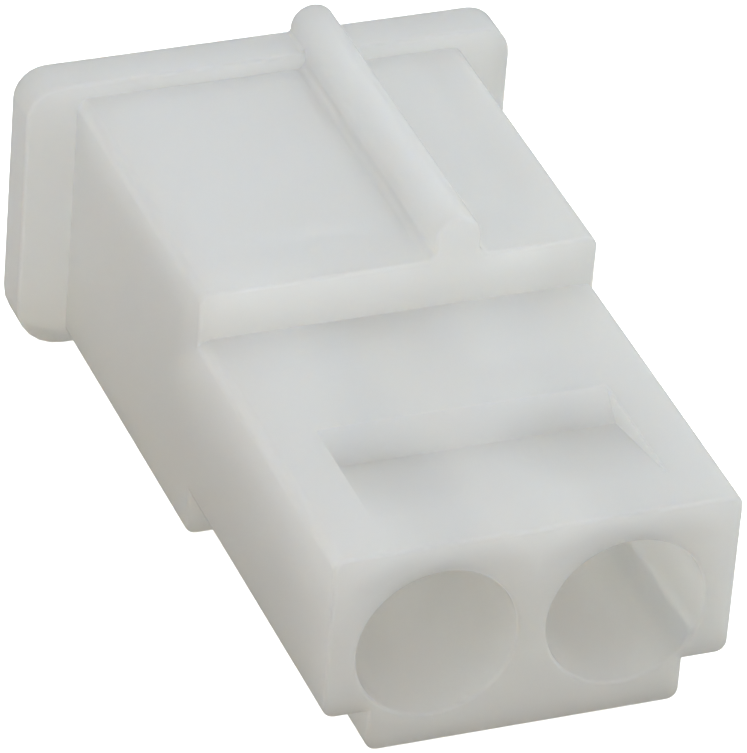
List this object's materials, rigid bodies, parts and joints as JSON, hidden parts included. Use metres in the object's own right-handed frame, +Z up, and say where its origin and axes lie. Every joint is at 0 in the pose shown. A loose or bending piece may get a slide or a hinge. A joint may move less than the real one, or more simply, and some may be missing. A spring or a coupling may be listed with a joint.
{
  "type": "wire to board connector housing",
  "caption": "Moulded nylon connector housing: side-by-side round wire entries, a raised hood with a flanged mating end, and an off-centre polarizing rib.",
  "frame": {"origin": "on the wire entry face, midway between the axes of the wire bores", "axes": "+Y along the bores from the wire entry face to the mating end, +Z up towards the polarizing rib, +X to the right, towards the rib"},
  "size_m": [0.0172, 0.0262, 0.0111],
  "materials": {
    "natural_nylon": "satin, milky and slightly translucent"
  },
  "bodies": {
    "root": {"housing": "natural_nylon"}
  },
  "joints": []
}
